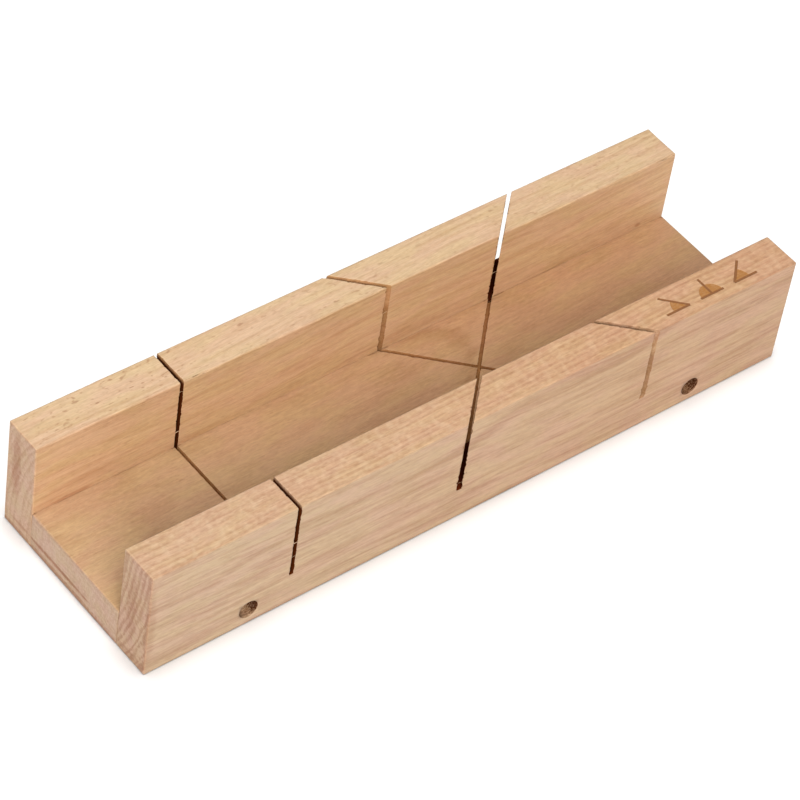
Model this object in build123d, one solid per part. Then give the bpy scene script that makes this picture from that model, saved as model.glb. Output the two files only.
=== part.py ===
from build123d import *
import os

# Wooden mitre box: three boards screwed into a trough, with saw kerfs at 45, 90 and 45 degrees.
#
# Frame: X along the trough, Y across it (the front fence is on -Y), Z up. The origin is the middle of the underside.
# Units are millimetres.

# Trough
LENGTH = 300.0
CHANNEL_WIDTH = 54.0
FENCE_THICKNESS = 17.0
FENCE_HEIGHT = 51.0
BASE_THICKNESS = 17.5
ARRIS_RADIUS = 0.6  # every outer edge is eased by this much after the boards are joined

# Saw kerfs: one square cut near the left end, and two mitre cuts that cross over the middle of the channel
KERF_WIDTH = 1.5
GROOVE_DEPTH = 2.0  # how far the kerfs run into the top of the base board
SQUARE_CUT_X = -87.0
MITRE_CROSSING_X = 34.5
MITRE_ANGLE = 45.0

# Recessed wood screws, the same on both fences
SCREW_OFFSET_X = 105.0
SCREW_Z = 7.5
COUNTERBORE_RADIUS = 4.0
COUNTERBORE_DEPTH = 5.0
SCREW_LENGTH = 35.0
HEAD_RADIUS = 3.75
HEAD_RIM = 0.4
SHANK_RADIUS = 1.5
SHANK_LENGTH = 13.0  # plain part of the screw, measured from the top of the head
THREAD_MAJOR_RADIUS = 2.0
THREAD_CORE_RADIUS = 1.3
THREAD_PITCH = 1.8
RIB_FOOT = 0.45  # half the thread rib's thickness where it meets the core
RIB_CREST = 0.06  # half its thickness at the crest
RIB_ROOT_DEPTH = 0.05  # how far the rib is rooted inside the core
TIP_LENGTH = 3.0
RECESS_REACH = 4.4
RECESS_SLOT = 0.9
RECESS_DEPTH = 1.9
RECESS_TAPER = 8.0
THREAD_RUN_OUT = 0.5  # plain core left at each end of the thread
WOOD_CLEARANCE = 0.03  # between the wood and the screw, all round
TIP_GAP = 0.3  # space left in front of the screw's tip

# Worked out from the above
OVERALL_WIDTH = CHANNEL_WIDTH + 2 * FENCE_THICKNESS
HALF_WIDTH = OVERALL_WIDTH / 2
HALF_CHANNEL = CHANNEL_WIDTH / 2
KERF_FLOOR = BASE_THICKNESS - GROOVE_DEPTH
HEAD_HEIGHT = HEAD_RIM + HEAD_RADIUS - SHANK_RADIUS  # the underside of the head is a 90 degree cone
OVERCUT = 5.0  # how far cutting tools stand out past the wood


def trough():
    """The whole trough as one U-shaped bar, with its outer edges eased and its inner corners sharp."""
    outline = Polyline(
        (-HALF_WIDTH, 0),
        (HALF_WIDTH, 0),
        (HALF_WIDTH, FENCE_HEIGHT),
        (HALF_CHANNEL, FENCE_HEIGHT),
        (HALF_CHANNEL, BASE_THICKNESS),
        (-HALF_CHANNEL, BASE_THICKNESS),
        (-HALF_CHANNEL, FENCE_HEIGHT),
        (-HALF_WIDTH, FENCE_HEIGHT),
        close=True,
    )
    bar = extrude(Plane.YZ * make_face(outline), amount=LENGTH / 2, both=True)
    return fillet([edge for edge in bar.edges() if not is_inner_corner(edge)], ARRIS_RADIUS)


def is_inner_corner(edge):
    """Whether an edge is one of the two corners where the base board meets a fence inside the channel."""
    middle = edge.center()
    return abs(abs(middle.Y) - HALF_CHANNEL) < 0.01 and abs(middle.Z - BASE_THICKNESS) < 0.01


def kerfs():
    """The three saw cuts, each a thin upright slab from the kerf floor to above the fences."""
    height = FENCE_HEIGHT - KERF_FLOOR + OVERCUT
    slab = Box(
        KERF_WIDTH,
        2 * OVERALL_WIDTH,
        height,
        align=(Align.CENTER, Align.CENTER, Align.MIN),
    )
    cuts = [(SQUARE_CUT_X, 0.0), (MITRE_CROSSING_X, MITRE_ANGLE), (MITRE_CROSSING_X, -MITRE_ANGLE)]
    return [Pos(x, 0, KERF_FLOOR) * Rot(0, 0, angle) * slab for x, angle in cuts]


def screw():
    """One countersunk wood screw: the top of its head is at the origin and it drives along +Z."""
    profile = Polyline(
        (0, 0),
        (HEAD_RADIUS, 0),
        (HEAD_RADIUS, HEAD_RIM),
        (SHANK_RADIUS, HEAD_HEIGHT),
        (SHANK_RADIUS, SHANK_LENGTH - THREAD_RUN_OUT),
        (THREAD_CORE_RADIUS, SHANK_LENGTH),
        (THREAD_CORE_RADIUS, SCREW_LENGTH - TIP_LENGTH),
        (0, SCREW_LENGTH),
        close=True,
    )
    body = revolve(Plane.XZ * make_face(profile), axis=Axis.Z)
    return body + thread() - cross_recess()


def thread():
    """The helical rib of the wood screw, rooted a little inside the core."""
    start = SHANK_LENGTH + THREAD_RUN_OUT
    end = SCREW_LENGTH - TIP_LENGTH - THREAD_RUN_OUT
    root = THREAD_CORE_RADIUS - RIB_ROOT_DEPTH
    crest = THREAD_MAJOR_RADIUS - root
    helix = Helix(pitch=THREAD_PITCH, height=end - start, radius=root)
    rib = Polyline((0, -RIB_FOOT), (crest, -RIB_CREST), (crest, RIB_CREST), (0, RIB_FOOT), close=True)
    section = Plane(origin=helix @ 0, x_dir=(1, 0, 0), z_dir=helix % 0) * make_face(rib)
    return Pos(0, 0, start) * sweep(section, path=helix, is_frenet=True)


def cross_recess():
    """The cross-shaped driver recess, narrowing towards its floor."""
    cross = Rectangle(RECESS_REACH, RECESS_SLOT) + Rectangle(RECESS_SLOT, RECESS_REACH)
    return extrude(cross, amount=RECESS_DEPTH, taper=RECESS_TAPER)


def screw_hole():
    """The wood removed for one screw, in the same frame as screw(): counterbore, seat, shank hole, thread hole."""
    gap = WOOD_CLEARANCE
    joint_depth = FENCE_THICKNESS - COUNTERBORE_DEPTH
    profile = Polyline(
        (0, -COUNTERBORE_DEPTH - OVERCUT),
        (COUNTERBORE_RADIUS, -COUNTERBORE_DEPTH - OVERCUT),
        (COUNTERBORE_RADIUS, HEAD_RIM + gap),
        (HEAD_RADIUS + gap, HEAD_RIM + gap),
        (SHANK_RADIUS + gap, HEAD_HEIGHT + gap),
        (SHANK_RADIUS + gap, joint_depth),
        (THREAD_MAJOR_RADIUS + gap, joint_depth),
        (THREAD_MAJOR_RADIUS + gap, SCREW_LENGTH - TIP_LENGTH),
        (0, SCREW_LENGTH + TIP_GAP),
        close=True,
    )
    return revolve(Plane.XZ * make_face(profile), axis=Axis.Z)


def screw_places():
    """Name and placement of each screw; the head's top lies at the floor of its counterbore."""
    head_y = HALF_WIDTH - COUNTERBORE_DEPTH
    for side, sign in (("front", -1), ("rear", 1)):
        for end, x in (("left", -SCREW_OFFSET_X), ("right", SCREW_OFFSET_X)):
            yield f"screw_{side}_{end}", Pos(x, sign * head_y, SCREW_Z) * Rot(sign * 90, 0, 0)


def boards():
    """The trough divided into its three boards along the two glue joints, then cut and drilled."""
    whole = trough()
    for cutter in kerfs():
        whole -= cutter
    hole = screw_hole()
    for _, place in screw_places():
        whole -= place * hole
    fence_middle = HALF_CHANNEL + FENCE_THICKNESS / 2 + OVERCUT / 2
    block = Box(LENGTH + OVERCUT, FENCE_THICKNESS + OVERCUT, 3 * FENCE_HEIGHT)
    return {
        "base_board": whole & Box(LENGTH + OVERCUT, CHANNEL_WIDTH, 3 * FENCE_HEIGHT),
        "front_fence": whole & (Pos(0, -fence_middle, 0) * block),
        "rear_fence": whole & (Pos(0, fence_middle, 0) * block),
    }


def main():
    os.makedirs("parts", exist_ok=True)
    nodes = boards()
    one_screw = screw()
    for name, place in screw_places():
        nodes[name] = place * one_screw
    for name, shape in nodes.items():
        export_step(shape, f"parts/{name}.step")


main()
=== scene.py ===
import math
from typing import NamedTuple

import bmesh
import bpy
import numpy as np
from mathutils import Matrix, Vector


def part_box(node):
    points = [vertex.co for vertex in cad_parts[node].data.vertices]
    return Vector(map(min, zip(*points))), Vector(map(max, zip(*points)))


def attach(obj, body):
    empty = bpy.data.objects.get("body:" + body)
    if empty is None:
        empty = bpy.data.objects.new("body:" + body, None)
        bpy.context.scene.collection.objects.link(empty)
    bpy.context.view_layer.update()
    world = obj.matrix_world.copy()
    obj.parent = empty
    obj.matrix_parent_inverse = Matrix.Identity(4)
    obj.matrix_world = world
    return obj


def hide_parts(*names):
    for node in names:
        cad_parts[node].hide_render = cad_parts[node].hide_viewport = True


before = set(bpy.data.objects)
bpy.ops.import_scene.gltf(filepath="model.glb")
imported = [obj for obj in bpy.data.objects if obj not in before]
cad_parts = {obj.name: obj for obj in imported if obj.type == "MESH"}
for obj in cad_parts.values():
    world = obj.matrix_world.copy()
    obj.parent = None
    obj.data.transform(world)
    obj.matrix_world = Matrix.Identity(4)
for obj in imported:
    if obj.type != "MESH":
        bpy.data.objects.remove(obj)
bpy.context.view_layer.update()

# A wooden mitre box: three beech boards, their saw kerfs and recessed screws.
# Lengths in this script are millimetres, and mm() turns them into Blender's metres.

MM_PER_METRE = 1000.0
BOARDS = ("base_board", "front_fence", "rear_fence")
SCREWS = tuple(sorted(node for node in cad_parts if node.startswith("screw_")))


def mm(*values):
    """Millimetres as metres: one number, or a Vector of three."""
    return (values[0] if len(values) == 1 else Vector(values)) / MM_PER_METRE


def box_mm(node):
    """A CAD node's lowest and highest corners, in millimetres."""
    low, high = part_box(node)
    return low * MM_PER_METRE, high * MM_PER_METRE


_, BASE_HIGH = box_mm("base_board")
FRONT_LOW, FRONT_HIGH = box_mm("front_fence")
HALF_CHANNEL = BASE_HIGH.y
BED_Z = BASE_HIGH.z
HALF_WIDTH = -FRONT_LOW.y
TOP_Z = FRONT_HIGH.z
COUNTERBORE_RADIUS = 4.0


class Kerf(NamedTuple):
    """A saw cut through both fences and into the base board."""

    crossing: float  # the place along X where it crosses the middle of the channel
    degrees: float  # its angle from square
    burn_and_shade: float  # how dark its walls are, from saw burn and from painted shade deep in the cut: 1 is dark brown, and above 1 near black
    darkened_below: float  # how deep below the top the darkening starts


# The saw cuts, as the CAD has them: half their width, the height of their floors, and where each one runs
KERF_HALF = 0.75
KERF_FLOOR = 15.5
KERFS = (
    Kerf(crossing=-87.0, degrees=0.0, burn_and_shade=1.0, darkened_below=0.0),
    Kerf(crossing=34.5, degrees=45.0, burn_and_shade=0.38, darkened_below=9.0),
    # the deep walls of this cut are painted near black, as painted shade
    Kerf(crossing=34.5, degrees=-45.0, burn_and_shade=1.5, darkened_below=20.0),
)


# Node graphs

Socket = bpy.types.NodeSocket


class Noise(NamedTuple):
    """How large a noise's features are along each coordinate, and how much finer detail it has."""

    sizes: tuple
    detail: float = 2.0
    roughness: float = 0.5


class Graph:
    """The nodes of one material or world. Most methods add nodes and return an output socket."""

    def __init__(self, owner):
        owner.use_nodes = True
        self.owner = owner
        self.tree = owner.node_tree
        self.tree.nodes.clear()

    def node(self, kind, **settings):
        made = self.tree.nodes.new(kind)
        for name, value in settings.items():
            setattr(made, name, value)
        return made

    def put(self, socket, value):
        if isinstance(value, Socket):
            self.tree.links.new(value, socket)
        elif value is not None:
            socket.default_value = value

    def maths(self, operation, *values, clamp=False):
        made = self.node("ShaderNodeMath", operation=operation, use_clamp=clamp)
        for socket, value in zip(made.inputs, values):
            self.put(socket, value)
        return made.outputs[0]

    def add(self, a, b):
        return self.maths("ADD", a, b)

    def sub(self, a, b):
        return self.maths("SUBTRACT", a, b)

    def mul(self, a, b):
        return self.maths("MULTIPLY", a, b)

    def larger(self, a, b):
        return self.maths("MAXIMUM", a, b)

    def absolute(self, value):
        return self.maths("ABSOLUTE", value)

    def distance(self, a, b):
        """The length of a line that runs a one way and b square to it."""
        return self.maths("SQRT", self.add(self.mul(a, a), self.mul(b, b)))

    def parts(self, vector):
        made = self.node("ShaderNodeSeparateXYZ")
        self.put(made.inputs[0], vector)
        return made.outputs[0], made.outputs[1], made.outputs[2]

    def noise(self, place, noise, output="Fac"):
        """Smooth noise around 0.5 over the three coordinates in place."""
        at = self.node("ShaderNodeCombineXYZ")
        for socket, along, size in zip(at.inputs, place, noise.sizes):
            self.put(socket, self.mul(along, 1 / size))
        made = self.node("ShaderNodeTexNoise", noise_dimensions="3D")
        self.put(made.inputs["Vector"], at.outputs[0])
        made.inputs["Scale"].default_value = 1.0
        made.inputs["Detail"].default_value = noise.detail
        made.inputs["Roughness"].default_value = noise.roughness
        return made.outputs[output]

    def swing(self, noise, reach):
        """A noise around 0.5, brought to lie around 0 and made reach times as strong."""
        return self.mul(self.sub(noise, 0.5), reach)

    def step(self, value, low, high, start=0.0, end=1.0):
        """Smoothly from start, where value is low, to end, where it is high."""
        made = self.node("ShaderNodeMapRange", interpolation_type="SMOOTHSTEP")
        for socket, item in zip(made.inputs, (value, low, high, start, end)):
            self.put(socket, item)
        return made.outputs[0]

    def mix_numbers(self, share, a, b):
        """The number a where share is 0, and b where it is 1."""
        return self.add(a, self.mul(share, b - a))

    def mix(self, share, a, b, blend="MIX"):
        """The colour a where share is 0, and b where it is 1."""
        made = self.node("ShaderNodeMix", data_type="RGBA", blend_type=blend)
        self.put(made.inputs["Factor"], share)
        # the node's inputs A and B and its output have one such socket for each kind of data
        self.put(made.inputs[6], a)
        self.put(made.inputs[7], b)
        return made.outputs[2]

    def tint(self, share, colour, by):
        """colour, multiplied by another colour where share is 1."""
        return self.mix(share, colour, by, "MULTIPLY")

    def scale_colour(self, colour, by):
        """colour times the number by."""
        made = self.node("ShaderNodeVectorMath", operation="SCALE")
        self.put(made.inputs[0], colour)
        self.put(made.inputs["Scale"], by)
        return made.outputs[0]

    def stored(self, name):
        """A value kept at the mesh's vertices."""
        return self.node("ShaderNodeAttribute", attribute_name=name).outputs["Fac"]

    def position(self):
        """The point on the surface, in millimetres in the part's frame, as x, y, z."""
        place = self.node("ShaderNodeTexCoord").outputs["Object"]
        return self.parts(self.scale_colour(place, MM_PER_METRE))

    def facing(self):
        """The surface's normal, as x, y, z."""
        return self.parts(self.node("ShaderNodeNewGeometry").outputs["Normal"])

    def bump(self, height, distance):
        made = self.node("ShaderNodeBump")
        made.inputs["Strength"].default_value = 1.0
        made.inputs["Distance"].default_value = mm(distance)
        self.put(made.inputs["Height"], height)
        return made.outputs[0]

    def finish(self, colour, roughness, normal, shine=0.5, **constants):
        shader = self.node("ShaderNodeBsdfPrincipled")
        self.put(shader.inputs["Base Color"], colour)
        self.put(shader.inputs["Roughness"], roughness)
        self.put(shader.inputs["Normal"], normal)
        self.put(shader.inputs["Specular IOR Level"], shine)
        for name, value in constants.items():
            shader.inputs[name].default_value = value
        output = self.node("ShaderNodeOutputMaterial")
        self.tree.links.new(shader.outputs[0], output.inputs["Surface"])
        return self.owner


def rgb(red, green, blue):
    return (red, green, blue, 1.0)


# Beech


class Board(NamedTuple):
    """How a board was sawn from its log, and how its faces are coloured: partly its own tone and stains,
    partly painted light and shade.
    """

    pith: tuple  # the place (y, z) of the log's pith, beside the board
    drift: tuple  # how far the pith moves (y, z) for each millimetre of length
    early: tuple  # the paler tone of a growth ring
    late: tuple  # the darker tone of a growth ring
    rings: float  # strength of the rings on long faces
    end_rings: float  # strength of the rings on end grain
    fibres: float  # strength of the fibre streaks on the sides
    top_fibres: float  # strength of the fibre streaks on top
    mottle: float  # strength of the fine mottling on top
    flecks: float  # strength of the ray flecks
    reddening: float  # share by which the board is redder at its right end
    kerf_darkening: float  # how much its kerf walls are darkened, by saw burn and by painted shade
    top: tuple  # tint of its top, partly painted light
    side: tuple  # tint of its sides, partly painted light and shade
    end: tuple  # tint of its end grain, partly painted shade
    wall: tuple  # tint of the walls of its kerfs
    spots: tuple  # dark places, stains and ring lines in the wood and painted shade at joints and along the bottom, each a centre, half sizes and a share


BEECH = {
    "front_fence": Board(
        pith=(92.0, 58.0),
        drift=(0.010, -0.030),
        early=rgb(0.475, 0.286, 0.166),
        late=rgb(0.36, 0.19, 0.10),
        rings=0.95,
        end_rings=1.7,
        fibres=3.5,
        top_fibres=1.7,
        mottle=1.4,
        flecks=0.4,
        reddening=0.9,
        kerf_darkening=1.0,
        top=rgb(1.08, 1.16, 1.21),
        side=rgb(0.865, 0.985, 1.09),
        end=rgb(0.91, 0.99, 1.17),
        wall=rgb(1.0, 0.97, 0.96),
        spots=(
            # painted shade along the bottom at the left end
            ((-150.0, -36.0, 3.0), (30.0, 12.0, 2.2), 0.35),
            ((-150.0, -34.0, 26.0), (30.0, 3.6, 20.0), 0.35),
            ((-150.0, -43.6, 24.0), (4.0, 2.2, 26.0), 0.35),
        ),
    ),
    "rear_fence": Board(
        pith=(-55.0, 5.0),
        drift=(0.030, 0.020),
        early=rgb(0.537, 0.369, 0.2255),
        late=rgb(0.43, 0.265, 0.1435),
        rings=0.5,
        end_rings=0.9,
        fibres=2.9,
        top_fibres=2.1,
        mottle=0.8,
        flecks=0.5,
        reddening=0.1,
        kerf_darkening=1.0,
        top=rgb(1.085, 1.09, 1.10),
        side=rgb(0.97, 0.865, 0.77),
        end=rgb(0.84, 0.83, 0.94),
        wall=rgb(0.86, 0.76, 0.64),
        spots=(
            ((136.5, 27.0, 19.0), (1.8, 2.0, 1.3), 0.6),
            # painted shade in the corner where the fence meets the base board
            ((-134.0, 27.0, 18.0), (11.0, 2.0, 1.3), 0.55),
            ((-150.0, 38.0, 33.0), (30.0, 3.2, 20.0), 0.5),
            ((-150.0, 33.0, 5.4), (30.0, 7.0, 1.0), 0.5),
            # painted shade along the bottom at the left end
            ((-150.0, 36.0, 0.6), (40.0, 14.0, 2.4), 0.6),
        ),
    ),
    "base_board": Board(
        pith=(6.0, -150.0),
        drift=(0.01, -0.06),
        early=rgb(0.45, 0.281, 0.155),
        late=rgb(0.3375, 0.186, 0.0925),
        rings=0.6,
        end_rings=0.35,
        fibres=1.7,
        top_fibres=1.7,
        mottle=0.7,
        flecks=0.5,
        reddening=0.8,
        kerf_darkening=0.0,
        top=rgb(1.08, 1.08, 1.07),
        side=rgb(1.0, 1.0, 1.0),
        end=rgb(0.965, 1.06, 1.375),
        wall=rgb(0.92, 0.74, 0.56),
        spots=(
            ((-150.0, 10.0, 5.3), (40.0, 26.0, 1.2), 0.85),
            # painted shade along the bottom at the left end
            ((-150.0, 5.0, 0.6), (60.0, 40.0, 2.6), 0.7),
        ),
    ),
}

RING_WIDTH = 2.7
# How far the pith wanders, and how far the rings bend with the ripples and with their own uneven pace
WANDER_REACH = 7.0
RIPPLE_REACH = 2.2
PACE_REACH = 5.0

# The noises in the wood, with their sizes along the board, across it and up. Where a size is a fraction,
# the number of features in a millimetre is the round number.
WANDER = Noise((110, 60, 60), 1.5)
RIPPLE = Noise((38, 9, 9))
STREAK = Noise((30, 4 / 3, 4 / 3), 4.0, 0.65)
PORE = Noise((4, 1 / 2.4, 1 / 2.4), 2.0, 0.65)
CLOUD = Noise((45, 12, 12))
SPECKLE = Noise((1.8, 1.1, 1.1))
HUE = Noise((20, 7, 7))
FLECK_PATCH = Noise((26, 9, 9), 1.0)
SPOT_WOBBLE = Noise((1 / 0.12, 2, 2), 3.0, 0.6)
SCORCH = Noise((1 / 0.9, 1 / 0.9, 1 / 0.9))
TORN = Noise((1 / 1.3, 1 / 2.2, 1 / 1.3), 3.0, 0.6)
BURN_MOTTLE = Noise((1 / 0.7, 1 / 1.4, 1), 3.0, 0.6)
SMUDGE = Noise((6, 2.5, 2.5), 3.0)
GRIT = Noise((1 / 3, 1 / 3, 1 / 3))
# The rings' own pace changes outwards from the pith only
PACE = Noise((5, 1, 1), 1.0)
# A medullary ray is a thin ribbon: its sizes are outwards from the pith, around it and along the board
RAY = Noise((4.0, 0.5, 2.8), 1.0, 0.4)

RAY_TONE = rgb(0.25, 0.11, 0.045)
FLAKE_TONE = rgb(0.62, 0.44, 0.28)
SCORCH_TONE = rgb(0.15, 0.062, 0.02)
# kerf wall tones: saw burn, and painted shade in the depth of the cuts
KERF_TONE = rgb(0.069, 0.015, 0.003)
CHAR_SHADE_TONE = rgb(0.08, 0.013, 0.003)
# painted shade inside the counterbores
BORE_SHADE_TONE = rgb(0.055, 0.016, 0.005)
BURN_LINE_TONE = rgb(0.215, 0.08, 0.02)
BURN_FILL_TONE = rgb(0.34, 0.14, 0.028)
HANDLED_TONE = rgb(0.31, 0.17, 0.09)
RED_TINT = rgb(1.0, 0.90, 0.83)
PINK_TINT = rgb(1.01, 0.975, 1.0)
YELLOW_TINT = rgb(0.995, 1.02, 0.95)
# the tint of stains, and of painted shade at joints and along the bottom
STAIN_AND_SHADE_TINT = rgb(0.62, 0.42, 0.32)

# The mark on the front fence: three burnt angle signs, for the three cuts
MARK_CENTRE = 110.5
MARK_PITCH = 17.0
MARK_FOOT = -39.5
MARK_LINE = 0.5
MARK_SOFT = 0.16
MARK_ARM = 5.6
MARK_HEIGHT = 8.6
MARK_WEDGE = 7.5
MARK_HALF_DISC = 5.1


class InLog(NamedTuple):
    """Where a point of a board was in its log."""

    along: Socket
    across: Socket  # from the pith
    up: Socket  # from the pith
    radius: Socket  # from the pith
    around: Socket  # along the growth ring, as long as at the middle of the board


class Cut(NamedTuple):
    """How the surface cuts the wood: each is 1 where it holds, and 0 elsewhere."""

    kerf_wall: Socket
    end_grain: Socket
    on_top: Socket
    not_quarter_sawn: Socket
    flat_sawn: Socket


def in_log(g, node, board, place):
    """The place about the board's pith, which wanders."""
    x, y, z = place
    shift_y, shift_z, _ = g.parts(g.noise(place, WANDER, "Color"))
    moved_y = g.add(g.mul(x, board.drift[0]), g.swing(shift_y, WANDER_REACH))
    moved_z = g.add(g.mul(x, board.drift[1]), g.swing(shift_z, WANDER_REACH))
    across = g.sub(g.sub(y, board.pith[0]), moved_y)
    up = g.sub(g.sub(z, board.pith[1]), moved_z)
    low, high = box_mm(node)
    middle = (low + high) / 2
    middle_radius = math.hypot(middle.y - board.pith[0], middle.z - board.pith[1])
    around = g.mul(g.maths("ARCTAN2", up, across), middle_radius)
    return InLog(x, across, up, g.distance(across, up), around)


def surface_cut(g, log):
    """How the surface cuts the log."""
    facing_x, facing_y, facing_z = g.facing()
    kerf_wall = g.step(g.stored("kerf"), 0.93, 0.99)
    end_grain = g.mul(g.step(g.absolute(facing_x), 0.55, 0.9), g.sub(1.0, kerf_wall))
    on_top = g.step(facing_z, 0.5, 0.9)
    # outward is 1 where the surface faces the pith, and 0 where it runs straight out from it
    along_radius = g.add(g.mul(facing_y, log.across), g.mul(facing_z, log.up))
    outward = g.absolute(g.maths("DIVIDE", along_radius, log.radius))
    not_quarter_sawn = g.step(outward, 0.12, 0.4)
    flat_sawn = g.step(outward, 0.5, 0.95)
    return Cut(kerf_wall, end_grain, on_top, not_quarter_sawn, flat_sawn)


def growth_rings(g, log):
    """Each ring darkens slowly towards its outer edge and then clears, some more than others."""
    ripple = g.noise((log.along, log.across, log.up), RIPPLE)
    pace = g.noise((log.radius, 0.0, 0.0), PACE)
    bent = g.add(g.swing(ripple, RIPPLE_REACH), g.swing(pace, PACE_REACH))
    count = g.mul(g.add(log.radius, bent), 1 / RING_WIDTH)
    ring_tone = g.node("ShaderNodeTexWhiteNoise", noise_dimensions="1D")
    g.put(ring_tone.inputs["W"], g.maths("FLOOR", count))
    phase = g.maths("FRACT", count)
    body = g.mul(g.step(phase, 0.2, 0.7), g.step(phase, 0.8, 1.0, 1.0, 0.0))
    return g.mul(body, g.add(0.3, g.mul(ring_tone.outputs["Value"], 0.7)))


def ringed_wood(g, board, log, cut, streak, cloud):
    """The wood's own tone: rings, fibre streaks and mottling between its early and its late tone."""
    along_fibres = (log.along, log.across, log.up)
    ring_share = g.mix_numbers(cut.end_grain, 0.75 * board.rings, board.end_rings)
    fibre_share = g.mix_numbers(cut.on_top, board.fibres, board.top_fibres)
    mottle_share = g.mix_numbers(cut.on_top, 0.6, board.mottle)
    speckle = g.noise(along_fibres, SPECKLE)
    amount = g.add(g.mul(growth_rings(g, log), ring_share), g.swing(streak, fibre_share))
    amount = g.add(amount, g.add(g.sub(cloud, 0.5), g.swing(speckle, mottle_share)))
    colour = g.mix(g.maths("ADD", amount, 0.15, clamp=True), board.early, board.late)
    hue = g.step(g.noise(along_fibres, HUE), 0.35, 0.65)
    return g.tint(1.0, colour, g.mix(hue, PINK_TINT, YELLOW_TINT))


def rays(g, board, place, cut, ray, ray_mask, colour):
    """Dark ray flecks in patches, and pale ray flakes where the board is quarter sawn."""
    flecks = g.mul(g.sub(cut.not_quarter_sawn, g.mul(cut.flat_sawn, 0.45)), board.flecks)
    flecks = g.add(flecks, g.mul(cut.end_grain, 0.1))
    patches = g.step(g.noise(place, FLECK_PATCH), 0.35, 0.65, 0.45, 1.1)
    fewer_at_right = g.step(place[0], -90.0, 60.0, 1.1, 0.65)
    flecks = g.mul(flecks, g.mul(patches, fewer_at_right))
    colour = g.mix(g.mul(ray_mask, flecks), colour, RAY_TONE)
    flakes = g.mul(g.step(ray, 0.45, 0.75), g.mul(g.sub(1.0, cut.not_quarter_sawn), 0.2))
    return g.mix(flakes, colour, FLAKE_TONE)


def stained_and_shaded(g, board, place, colour):
    """Darkens the board's dark places, which are uneven ellipsoids: stains and ring lines, and painted shade
    at joints and along the bottom.
    """
    for centre, halves, share in board.spots:
        total = g.swing(g.noise(place, SPOT_WOBBLE), 1.6)
        for along, middle, half in zip(place, centre, halves):
            part = g.mul(g.sub(along, middle), 1 / half)
            total = g.add(total, g.mul(part, part))
        colour = g.tint(g.mul(g.step(total, 0.15, 1.0, 1.0, 0.0), share), colour, STAIN_AND_SHADE_TINT)
    return colour


def burnt_and_shaded_kerfs(g, board, place, kerf_wall, colour):
    """Kerf walls in their own tint, darkened brown or black by saw burn and by painted shade deep in the
    cuts, with thin brown edges.
    """
    scorch = g.noise(place, SCORCH)
    # near the top the darkening fades, unevenly
    ragged_z = g.add(place[2], g.mul(scorch, 0.8))
    fading_at_top = g.step(ragged_z, TOP_Z - 1.5, TOP_Z + 0.2)
    burn_and_shade = g.mul(g.stored("kerf_darkening"), board.kerf_darkening)
    burn_and_shade = g.mul(burn_and_shade, g.sub(1.0, g.mul(fading_at_top, 0.8)))
    ragged = g.step(scorch, 0.35, 0.7, 0.0, 0.5)
    edge = g.mul(g.step(g.stored("kerf"), 0.3, 0.85), g.mul(burn_and_shade, ragged))
    colour = g.mix(edge, colour, SCORCH_TONE)
    colour = g.tint(kerf_wall, colour, board.wall)
    # the walls' darkening: saw burn, and painted shade that turns near black deep in the cuts
    burn_and_shade_tone = g.mix(g.step(burn_and_shade, 0.2, 0.8), SCORCH_TONE, KERF_TONE)
    burn_and_shade_tone = g.mix(g.step(burn_and_shade, 1.0, 1.4), burn_and_shade_tone, CHAR_SHADE_TONE)
    return g.mix(g.mul(kerf_wall, g.add(0.1, g.mul(burn_and_shade, 0.9))), colour, burn_and_shade_tone)


def inside_bore(g, place):
    """1 in the counterbores, and 0 elsewhere."""
    x, _, z = place
    low, high = box_mm("screw_front_right")
    centre = (low + high) / 2
    # the screws stand at the same distance either side of the middle
    gap = g.distance(g.sub(g.absolute(x), centre.x), g.sub(z, centre.z))
    return g.step(gap, COUNTERBORE_RADIUS + 0.03, COUNTERBORE_RADIUS + 0.16, 1.0, 0.0)


def shaded_bores(g, place, in_bore, colour):
    """The counterbores' torn walls, darkened with painted shade, most where they face left and more in the
    right-hand bore.
    """
    x, y, z = place
    depth = g.sub(HALF_WIDTH, g.absolute(y))
    torn = g.step(g.noise((x, depth, z), TORN), 0.35, 0.6, 0.55, 1.2)
    # painted shade: full where a wall faces left, and stronger in the right-hand bore
    painted_shade = g.step(g.facing()[0], -0.95, -0.2, 1.0, g.step(x, -50.0, 50.0, 0.5, 0.7))
    return g.mix(g.mul(g.mul(in_bore, painted_shade), torn), colour, BORE_SHADE_TONE)


def stroke(g, gap, along, low, high):
    """A soft-edged straight line of the mark: gap is the distance from it, along the place on it."""
    ends = g.mul(g.step(along, low - MARK_SOFT, low), g.step(along, high, high + MARK_SOFT, 1.0, 0.0))
    return g.mul(g.step(gap, MARK_LINE - MARK_SOFT / 2, MARK_LINE + MARK_SOFT / 2, 1.0, 0.0), ends)


def within(g, distance, radius):
    """1 inside a circle with a soft edge, and 0 outside it."""
    return g.step(distance, radius - 0.1, radius + 0.1, 1.0, 0.0)


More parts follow.
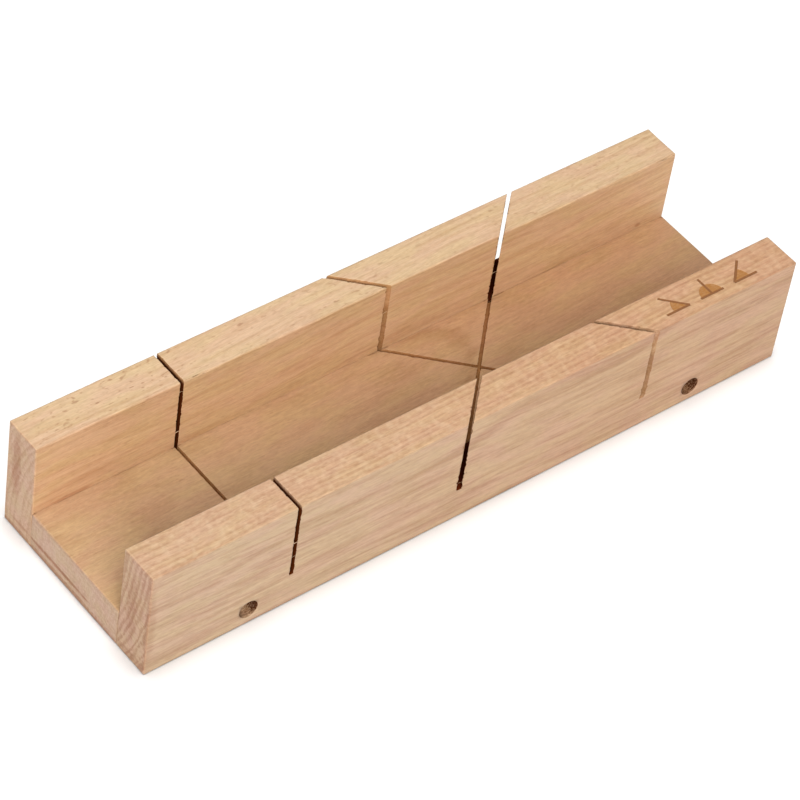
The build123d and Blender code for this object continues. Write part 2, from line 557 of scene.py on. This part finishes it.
def angle_mark(g, place):
    """The lines and the filled sectors of three angle signs: 45 degrees, square, and 45 degrees again."""
    x, y, z = place
    side = g.absolute(g.sub(x, MARK_CENTRE))
    up = g.sub(y, MARK_FOOT)
    # the outer signs mirror each other about the middle one
    out = g.sub(side, MARK_PITCH)
    from_corner = g.add(out, MARK_ARM)
    flat = g.absolute(up)
    outer_foot = stroke(g, flat, out, -MARK_ARM, MARK_ARM)
    middle_foot = stroke(g, flat, side, -1.0, MARK_ARM)
    upright = stroke(g, side, up, 0.0, MARK_HEIGHT)
    across = g.mul(g.sub(from_corner, up), math.sqrt(0.5))
    reach = g.mul(g.add(from_corner, up), math.sqrt(0.5))
    slanted = stroke(g, g.absolute(across), reach, 0.0, MARK_HEIGHT * math.sqrt(2))
    lines = g.larger(g.larger(outer_foot, middle_foot), g.larger(upright, slanted))

    above = g.step(up, 0.0, 0.2)
    below_slant = g.step(across, 0.0, 0.2)
    wedge = g.mul(g.mul(above, below_slant), within(g, g.distance(from_corner, up), MARK_WEDGE))
    half_disc = g.mul(above, within(g, g.distance(side, up), MARK_HALF_DISC))
    on_top = g.step(z, TOP_Z - 0.5, TOP_Z - 0.3)
    return g.mul(lines, on_top), g.mul(g.larger(wedge, half_disc), on_top)


def marked(g, place, lines, filled, colour):
    """Burns the mark into the wood: the sectors lightly and the lines over them more strongly."""
    mottle = g.noise(place, BURN_MOTTLE)
    colour = g.mix(g.mul(filled, g.step(mottle, 0.3, 0.65, 0.7, 1.0)), colour, BURN_FILL_TONE)
    return g.mix(g.mul(lines, g.step(mottle, 0.2, 0.6, 0.85, 1.0)), colour, BURN_LINE_TONE)


def handled(g, place, colour):
    """Arrises smudged by hands, except at the very bottom."""
    smudge = g.step(g.noise(place, SMUDGE), 0.3, 0.7, 0.05, 0.35)
    on_arris = g.mul(g.stored("arris"), g.step(place[2], 1.0, 6.0))
    return g.mix(g.mul(on_arris, smudge), colour, HANDLED_TONE)


def beech(node, board):
    """Solid beech: growth rings about a pith, fibres along X, and medullary rays out from the pith."""
    g = Graph(bpy.data.materials.new(node + "_beech"))
    place = g.position()
    log = in_log(g, node, board, place)
    cut = surface_cut(g, log)
    along_fibres = (log.along, log.across, log.up)
    streak = g.noise(along_fibres, STREAK)
    pores = g.noise(along_fibres, PORE)
    cloud = g.noise(along_fibres, CLOUD)
    ray = g.noise((log.radius, log.around, log.along), RAY)
    ray_mask = g.step(ray, 0.59, 0.77)

    colour = ringed_wood(g, board, log, cut, streak, cloud)
    colour = rays(g, board, place, cut, ray, ray_mask, colour)
    colour = g.scale_colour(colour, g.add(1.0, g.add(g.swing(pores, 0.5), g.swing(cloud, 0.12))))
    colour = g.tint(g.mul(g.step(place[0], -130.0, 90.0), board.reddening), colour, RED_TINT)
    # each face's tint, which partly paints the light and shade that fall on it
    long_tint = g.mix(cut.on_top, board.side, board.top)
    colour = g.tint(1.0, colour, g.mix(cut.end_grain, long_tint, board.end))
    colour = stained_and_shaded(g, board, place, colour)
    colour = burnt_and_shaded_kerfs(g, board, place, cut.kerf_wall, colour)
    in_bore = inside_bore(g, place)
    colour = shaded_bores(g, place, in_bore, colour)
    height = g.add(g.mul(pores, 0.7), g.add(g.mul(streak, 0.25), g.mul(ray_mask, -0.12)))
    if node == "front_fence":
        lines, filled = angle_mark(g, place)
        colour = marked(g, place, lines, filled, colour)
        height = g.sub(height, g.mul(g.larger(lines, g.mul(filled, 0.5)), 1.6))
    colour = handled(g, place, colour)

    rough_cut = g.larger(cut.end_grain, cut.kerf_wall)
    height = g.add(height, g.mul(g.mul(g.noise(place, GRIT), rough_cut), 0.8))
    roughness = g.add(0.50, g.add(g.mul(pores, 0.14), g.mul(rough_cut, 0.2)))
    # the walls of kerfs and bores have no shine
    shine = g.mul(g.sub(0.5, g.mul(rough_cut, 0.2)), g.sub(1.0, g.larger(cut.kerf_wall, in_bore)))
    return g.finish(colour, roughness, g.bump(height, 0.12), shine=shine, IOR=1.45)


# Zinc plating

ZINC_DARK = rgb(0.42, 0.36, 0.25)
ZINC_PALE = rgb(0.58, 0.50, 0.36)
ZINC_MOTTLE = Noise((1, 1, 1), 3.0, 0.6)
ZINC_FINE = Noise((1 / 9, 1 / 9, 1 / 9))


def zinc_steel():
    """Dull yellow zinc plating, mottled and finely roughened."""
    g = Graph(bpy.data.materials.new("zinc_steel"))
    place = g.position()
    mottle = g.noise(place, ZINC_MOTTLE)
    colour = g.mix(g.step(mottle, 0.35, 0.7), ZINC_DARK, ZINC_PALE)
    roughness = g.add(0.3, g.mul(mottle, 0.35))
    bump = g.bump(g.noise(place, ZINC_FINE), 0.02)
    return g.finish(colour, roughness, bump, Metallic=0.9)


# Worn board meshes


class Unevenness(NamedTuple):
    """Random wear: how far it moves a surface, and how large its features are."""

    reach: float
    size: float


# Before a CAD mesh is divided, vertices this near merge (metres) and faces this flat join (degrees)
MERGE_METRES = 2e-7
JOIN_DEGREES = 0.3
CUT_METRES = 1e-7

# Where a mesh is divided: beside the edges of its box, beside its kerfs, elsewhere along X, Y and Z, and how
# finely within the kerfs
ARRIS_LOOPS = (0.9, 1.9)
KERF_LOOPS = (0.22, 0.6, 1.3)
GRID_STEPS = (2.5, 3.0, 3.0)
KERF_STEP = 0.7

# A random field repeats after so many cells, and starts where every cell's number is positive
FIELD_CELLS = 32
FIELD_START = 500

# Every worn arris and kerf rim has lost this much, and more in places
LEAST_WEAR = 0.04
ARRIS_WEAR = Unevenness(0.16, 7.0)
ARRIS_GRAIN = Unevenness(0.05, 1.6)
RIM_WEAR = Unevenness(0.14, 1.2)
KERF_SWAY = Unevenness(0.08, 14.0)
KERF_GRAIN = Unevenness(0.05, 2.0)
KERF_CHIPS = Unevenness(0.55, 0.9)
# How deep below a face the chips fade out
CHIP_FADE = 0.6
# How far from an edge an arris is rubbed and fully smudged, and how fast the smudge fades beyond that
ARRIS_WIDTH = 0.65
ARRIS_SMUDGE = 0.3
ARRIS_FADE = 0.7
# How fast a kerf's own look fades beside it, and how far from it the wood can be darkened by saw burn and
# painted shade
KERF_FADE = 0.3
DARKENED_WIDTH = 2.5
# From what angle between faces an edge stays sharp
SHARP_DEGREES = 38
# How far the walls of each board's kerfs have moved apart; the base board's grooves have closed a little
KERF_WIDENING = {"front_fence": 0.03, "rear_fence": 0.03, "base_board": -0.12}
# How far along X the saw had drifted outwards when a mitre cut reached the outer face of a fence
MITRE_DRIFT = 0.7

# Fibres left standing across the kerfs of the fences: how many at each face of a kerf, and the place (y, z)
# of the thickest one in each fence's square cut
FIBRES_PER_FACE = 1
THICK_FIBRES = {"front_fence": (-43.7, 32.0), "rear_fence": (27.3, 24.8)}
THICK_FIBRE_RADIUS = 0.2
FIBRE_RADII = (0.05, 0.09)
# How far inside a face they stand, how unevenly they run, how deep they root, and how they thin in the middle
FIBRE_INSET = 0.3
FIBRE_WANDER = 0.12
FIBRE_ROOT = 0.25
FIBRE_TAPER = np.array((1.0, 0.8, 0.55, 0.7, 1.0))
STRAND_SIDES = 5


def sweep_cuts(bm, faces, origin, normal, offsets):
    """Divides faces along planes square to normal, at rising offsets in millimetres from origin."""
    normal = Vector(normal)
    for offset in sorted(offsets):
        place = mm(*origin) + normal * mm(offset)
        edges = {edge for face in faces for edge in face.edges}
        verts = {vert for face in faces for vert in face.verts}
        around = faces + list(edges) + list(verts)
        cut = bmesh.ops.bisect_plane(bm, geom=around, dist=CUT_METRES, plane_co=place, plane_no=normal)
        reach = place.dot(normal) + CUT_METRES
        faces = [
            item
            for item in cut["geom"]
            if isinstance(item, bmesh.types.BMFace) and item.calc_center_median().dot(normal) > reach
        ]


def spread(low, high, spacing):
    """Evenly spaced offsets strictly between low and high."""
    count = max(1, round((high - low) / spacing))
    return [low + (high - low) * i / count for i in range(1, count)]


def near_kerf(bm, origin, across):
    """The faces in and right beside one kerf."""
    faces = []
    for face in bm.faces:
        place = face.calc_center_median() * MM_PER_METRE
        if abs((place - origin).dot(across)) < KERF_HALF + KERF_LOOPS[1] and place.z > KERF_FLOOR - 1.0:
            faces.append(face)
    return faces


def divide_grid(bm, low, high):
    """Divides the whole board into a grid with loops beside its arrises."""
    for axis in range(3):
        normal = [float(i == axis) for i in range(3)]
        offsets = spread(low[axis], high[axis], GRID_STEPS[axis])
        offsets += [low[axis] + m for m in ARRIS_LOOPS] + [high[axis] - m for m in ARRIS_LOOPS]
        sweep_cuts(bm, bm.faces[:], (0, 0, 0), normal, offsets)


def divide_kerf(bm, kerf):
    """Adds loops beside a kerf, and divides its walls and their surroundings finely."""
    across = Vector((math.cos(math.radians(kerf.degrees)), math.sin(math.radians(kerf.degrees)), 0))
    along = Vector((-across.y, across.x, 0))
    origin = Vector((kerf.crossing, 0, 0))
    beside = [side * (KERF_HALF + m) for side in (-1, 1) for m in KERF_LOOPS]
    sweep_cuts(bm, bm.faces[:], origin, across, beside)
    for direction in (along, Vector((0, 0, 1))):
        near = near_kerf(bm, origin, across)
        places = [vert.co * MM_PER_METRE for face in near for vert in face.verts]
        reach = [(place - origin).dot(direction) for place in places]
        sweep_cuts(bm, near, origin, direction, spread(min(reach), max(reach), KERF_STEP))


def divided(node):
    """A copy of a board's CAD mesh, divided finely enough for worn edges and kerfs."""
    bm = bmesh.new()
    bm.from_mesh(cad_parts[node].data)
    bmesh.ops.remove_doubles(bm, verts=bm.verts[:], dist=MERGE_METRES)
    flat = math.radians(JOIN_DEGREES)
    bmesh.ops.dissolve_limit(bm, angle_limit=flat, verts=bm.verts[:], edges=bm.edges[:])
    divide_grid(bm, *box_mm(node))
    for kerf in KERFS:
        divide_kerf(bm, kerf)
    bmesh.ops.triangulate(bm, faces=[face for face in bm.faces if len(face.verts) > 4])
    mesh = bpy.data.meshes.new(node + "_worn")
    bm.to_mesh(mesh)
    bm.free()
    return mesh


def smooth(value, low, high):
    """Smoothly from 0, where value is low, to 1, where it is high."""
    t = np.clip((value - low) / (high - low), 0, 1)
    return t * t * (3 - 2 * t)


def field(points, size, seed):
    """Smooth random values from -1 to 1 at each point, with features about size millimetres across."""
    table = np.random.default_rng(seed).uniform(-1, 1, (FIELD_CELLS, FIELD_CELLS, FIELD_CELLS))
    cell = points / size + FIELD_START
    corner = np.floor(cell).astype(int)
    t = cell - corner
    t = t * t * (3 - 2 * t)
    total = np.zeros(len(points))
    for dx, dy, dz in np.ndindex(2, 2, 2):
        weight = (t[:, 0] if dx else 1 - t[:, 0]) * (t[:, 1] if dy else 1 - t[:, 1])
        weight = weight * (t[:, 2] if dz else 1 - t[:, 2])
        at = (corner + (dx, dy, dz)) % FIELD_CELLS
        total += weight * table[at[:, 0], at[:, 1], at[:, 2]]
    return total


def waves(points, wear, seed):
    """Smooth random lengths that reach as far to either side of 0 as the wear does."""
    return wear.reach * field(points, wear.size, seed)


def patches(points, wear, seed, more=0.0):
    """Random lengths from 0 to the wear's reach, in patches that are larger where more is larger."""
    return wear.reach * np.clip(field(points, wear.size, seed) + more, 0, 1)


def vertex_rows(mesh, name):
    """A vector of each vertex, as rows of three numbers."""
    values = np.empty(len(mesh.vertices) * 3)
    mesh.vertices.foreach_get(name, values)
    return values.reshape(-1, 3)


def rubbed_arrises(points, normals, to_edge, seed):
    """How far each vertex on an arris was rubbed away."""
    diagonal = 1 - np.abs(normals).max(axis=1)
    on_arris = (diagonal > 0.03) & (to_edge < ARRIS_WIDTH)
    rub = LEAST_WEAR + patches(points, ARRIS_WEAR, seed, more=0.2)
    rub += waves(points, ARRIS_GRAIN, seed + 1)
    return -normals * (on_arris * np.maximum(rub, 0))[:, None]


def kerf_offset(points, kerf):
    """How far each point is across the middle plane of a kerf, with its sign."""
    turn = math.radians(kerf.degrees)
    return (points[:, 0] - kerf.crossing) * math.cos(turn) + points[:, 1] * math.sin(turn)


def ragged_kerf(points, normals, to_face, kerf, widening, seed):
    """How far each vertex at a kerf moved: the walls sway and widen, and their edges chip and sink."""
    offset = kerf_offset(points, kerf)
    gap = np.maximum(np.abs(offset) - KERF_HALF, 0)
    fade = (1 - smooth(gap, 0.05, 1.2)) * smooth(points[:, 2], KERF_FLOOR - 0.2, KERF_FLOOR + 0.4)
    moved = np.zeros_like(points)
    near = np.flatnonzero(fade > 0)
    here = points[near]
    surface = np.exp(-to_face[near] / CHIP_FADE)
    sway = waves(here, KERF_SWAY, seed + 2)
    widen = widening + waves(here, KERF_GRAIN, seed + 6)
    chip = patches(here, KERF_CHIPS, seed + 10, more=-0.2) * surface
    slide = (sway + np.sign(offset[near]) * (widen + chip)) * fade[near]
    moved[near, 0] += slide / math.cos(math.radians(kerf.degrees))
    past_channel = np.clip((np.abs(here[:, 1]) - HALF_CHANNEL) / (HALF_WIDTH - HALF_CHANNEL), 0, 1)
    moved[near, 0] -= np.sign(kerf.degrees * here[:, 1]) * MITRE_DRIFT * past_channel * fade[near]
    rim = (gap[near] < 0.02) & (to_face[near] < 0.02)
    sink = rim * (LEAST_WEAR + patches(here, RIM_WEAR, seed + 14))
    moved[near] -= normals[near] * sink[:, None]
    return moved


def wall_darkening(kerf, depth):
    """How dark a kerf's walls are at each depth below the top: saw burn, and painted shade that starts some
    way down.
    """
    if kerf.darkened_below == 0.0:
        return kerf.burn_and_shade
    return kerf.burn_and_shade * smooth(depth, kerf.darkened_below - 0.1, kerf.darkened_below + 5.0)


def wear(mesh, low, high, widening, seed):
    """Rounds the arrises, roughens the kerfs, and stores how near each vertex is to either."""
    points = vertex_rows(mesh, "co") * MM_PER_METRE
    normals = vertex_rows(mesh, "normal")
    low = np.array(low)
    high = np.array(high)
    # how far each vertex is from the planes of the box's six sides, the nearest first
    gaps = np.sort(np.abs(np.concatenate([points - low, high - points], axis=1)), axis=1)
    to_face = gaps[:, 0]
    to_edge = gaps[:, 1]
    moved = rubbed_arrises(points, normals, to_edge, seed)
    at_kerf = np.zeros(len(points))
    kerf_darkening = np.zeros(len(points))
    above_floor = smooth(points[:, 2], KERF_FLOOR - 0.3, KERF_FLOOR - 0.1)
    depth = TOP_Z - points[:, 2]
    for index, kerf in enumerate(KERFS):
        gap = np.maximum(np.abs(kerf_offset(points, kerf)) - KERF_HALF, 0)
        at_kerf = np.maximum(at_kerf, np.exp(-gap / KERF_FADE) * above_floor)
        kerf_darkening = np.where(gap < DARKENED_WIDTH, wall_darkening(kerf, depth), kerf_darkening)
        moved += ragged_kerf(points, normals, to_face, kerf, widening, seed + index)

    points = np.clip(points + moved, low, high)
    mesh.vertices.foreach_set("co", (points / MM_PER_METRE).ravel())
    arris = np.exp(-np.maximum(to_edge - ARRIS_SMUDGE, 0) / ARRIS_FADE)
    for name, values in (("arris", arris), ("kerf", at_kerf), ("kerf_darkening", kerf_darkening)):
        mesh.attributes.new(name, "FLOAT", "POINT").data.foreach_set("value", values.astype(np.float32))
    mesh.update()


def strand(bm, points, radii):
    """Adds a closed strand through points that run along X, in millimetres."""
    turns = [math.tau * side / STRAND_SIDES for side in range(STRAND_SIDES)]
    rings = []
    for point, radius in zip(points, radii):
        ring = [Vector(point) + Vector((0, math.cos(turn), math.sin(turn))) * radius for turn in turns]
        rings.append([bm.verts.new(mm(*corner)) for corner in ring])
    for first, second in zip(rings, rings[1:]):
        for i in range(STRAND_SIDES):
            j = (i + 1) % STRAND_SIDES
            bm.faces.new((first[j], first[i], second[i], second[j]))
    bm.faces.new(rings[0])
    bm.faces.new(rings[-1][::-1])


def add_fibres(mesh, node, low, high, seed):
    """Adds the wood fibres that the saw left standing across a fence's kerfs, rooted in the walls."""
    random = np.random.default_rng(seed)
    bm = bmesh.new()
    bm.from_mesh(mesh)
    for kerf in KERFS:
        gap = KERF_HALF / math.cos(math.radians(kerf.degrees))
        places = []
        for y in (low.y + FIBRE_INSET, high.y - FIBRE_INSET):
            places += [(y, z) for z in random.uniform(BED_Z + 1, TOP_Z - 2, FIBRES_PER_FACE)]
        thick = list(random.uniform(*FIBRE_RADII, len(places)))
        if kerf.degrees == 0.0:
            places.append(THICK_FIBRES[node])
            thick.append(THICK_FIBRE_RADIUS)
        for (y, z), radius in zip(places, thick):
            middle = kerf.crossing - y * math.tan(math.radians(kerf.degrees))
            wander = random.uniform(-FIBRE_WANDER, FIBRE_WANDER, (len(FIBRE_TAPER), 2))
            reach = np.linspace(-1, 1, len(FIBRE_TAPER)) * (gap + FIBRE_ROOT)
            points = [(middle + x, y + dy, z + dz) for x, (dy, dz) in zip(reach, wander)]
            strand(bm, points, radius * FIBRE_TAPER)
    bm.to_mesh(mesh)
    bm.free()


def worn_board(node, material, seed):
    """The board as it really looks: the CAD shape with handled arrises and ragged kerf edges."""
    mesh = divided(node)
    low, high = box_mm(node)
    wear(mesh, low, high, KERF_WIDENING[node], seed)
    if node in THICK_FIBRES:
        add_fibres(mesh, node, low, high, seed + 50)
    mesh.polygons.foreach_set("use_smooth", [True] * len(mesh.polygons))
    mesh.set_sharp_from_angle(angle=math.radians(SHARP_DEGREES))
    mesh.materials.append(material)
    board = bpy.data.objects.new(node + "_worn", mesh)
    bpy.context.scene.collection.objects.link(board)
    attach(board, "root")
    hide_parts(node)
    return board


# Studio


class SoftBox(NamedTuple):
    """A round lamp that faces the object. All lengths are metres."""

    place: tuple
    size: float
    watts: float


# The soft boxes light only the object, as a photographer's flags would do, and the floor has an even wash
KEY_LIGHT = SoftBox(place=(-1.16, -1.656, 1.58), size=2.0, watts=87.5)
LEFT_LIGHT = SoftBox(place=(-1.04, 1.04, 1.03), size=0.6, watts=3.4)
FLOOR_WASH = 1.9
FLOOR_WASH_DEGREES = 16.0
# The dome's brightness at the horizon, and how much brighter it is straight above
SKY_HORIZON = 0.195
SKY_RISE = 0.66
FLOOR_HALF = 4.0
FLOOR_PATCH = Noise((400, 400, 1), 1.0)
FLOOR_DARK = rgb(0.93, 0.93, 0.925)
FLOOR_PALE = rgb(0.94, 0.94, 0.935)


def pale_floor():
    g = Graph(bpy.data.materials.new("pale_floor"))
    x, y, _ = g.position()
    colour = g.mix(g.noise((x, y, 0.0), FLOOR_PATCH), FLOOR_DARK, FLOOR_PALE)
    material = g.finish(colour, 0.9, None)
    bm = bmesh.new()
    bmesh.ops.create_grid(bm, x_segments=4, y_segments=4, size=FLOOR_HALF)
    mesh = bpy.data.meshes.new("floor")
    bm.to_mesh(mesh)
    bm.free()
    mesh.materials.append(material)
    floor = bpy.data.objects.new("floor", mesh)
    bpy.context.scene.collection.objects.link(floor)
    return floor


def stand_light(name, data, place, receivers):
    """Stands a light where it faces the origin and lights only the receivers."""
    lit = bpy.data.collections.new("lit_by_" + name)
    for receiver in receivers:
        lit.objects.link(receiver)
    light = bpy.data.objects.new(name, data)
    light.location = place
    light.rotation_euler = (-Vector(place)).to_track_quat("-Z", "Y").to_euler()
    light.light_linking.receiver_collection = lit
    bpy.context.scene.collection.objects.link(light)


def soft_box(name, box, receivers):
    data = bpy.data.lights.new(name, "AREA")
    data.shape = "DISK"
    data.size = box.size
    data.energy = box.watts
    stand_light(name, data, box.place, receivers)


def floor_wash(floor):
    data = bpy.data.lights.new("floor_wash", "SUN")
    data.energy = FLOOR_WASH
    data.angle = math.radians(FLOOR_WASH_DEGREES)
    stand_light("floor_wash", data, (0.0, 0.0, 1.0), [floor])


def dome():
    """A dim dome that brightens upwards, which the camera sees as plain white."""
    world = bpy.data.worlds.new("studio")
    g = Graph(world)
    _, _, up = g.parts(g.node("ShaderNodeTexCoord").outputs["Generated"])
    background = g.node("ShaderNodeBackground")
    background.inputs["Color"].default_value = rgb(1.0, 1.0, 1.0)
    strength = g.add(SKY_HORIZON, g.mul(g.larger(up, 0.0), SKY_RISE))
    seen = g.node("ShaderNodeLightPath").outputs["Is Camera Ray"]
    g.put(background.inputs["Strength"], g.larger(strength, seen))
    output = g.node("ShaderNodeOutputWorld")
    g.tree.links.new(background.outputs[0], output.inputs["Surface"])
    return world


def studio(pieces):
    """The dome, the floor, the soft boxes for the pieces and the wash for the floor."""
    bpy.context.scene.world = dome()
    bpy.context.scene.view_settings.view_transform = "Standard"
    bpy.context.scene.view_settings.look = "None"
    floor = pale_floor()
    soft_box("key", KEY_LIGHT, pieces)
    soft_box("left_rear", LEFT_LIGHT, pieces)
    floor_wash(floor)


# Camera: at the photograph's viewing angle, with a long lens from about 1.4 m
CAMERA_PLACE = (-679.54, -683.995, 1003.185)
CAMERA_AIM = (-4.84, -0.79, 21.62)
CAMERA_ROLL = 9.42
CAMERA_LENS = 166.36
CAMERA_SENSOR = 36.0
CAMERA_CLIP_END = 20.0


def camera():
    data = bpy.data.cameras.new("camera")
    data.lens = CAMERA_LENS
    data.sensor_width = CAMERA_SENSOR
    data.clip_end = CAMERA_CLIP_END
    made = bpy.data.objects.new("camera", data)
    place = mm(*CAMERA_PLACE)
    aim = mm(*CAMERA_AIM)
    turned = (aim - place).to_track_quat("-Z", "Y").to_matrix().to_4x4()
    roll = Matrix.Rotation(math.radians(CAMERA_ROLL), 4, "Z")
    made.matrix_world = Matrix.Translation(place) @ turned @ roll
    bpy.context.scene.collection.objects.link(made)
    bpy.context.scene.camera = made


def main():
    camera()
    pieces = []
    for index, node in enumerate(BOARDS):
        pieces.append(worn_board(node, beech(node, BEECH[node]), 100 * (index + 1)))
    steel = zinc_steel()
    for node in SCREWS:
        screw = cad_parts[node]
        screw.data.materials.clear()
        screw.data.materials.append(steel)
        pieces.append(screw)
    studio(pieces)


main()
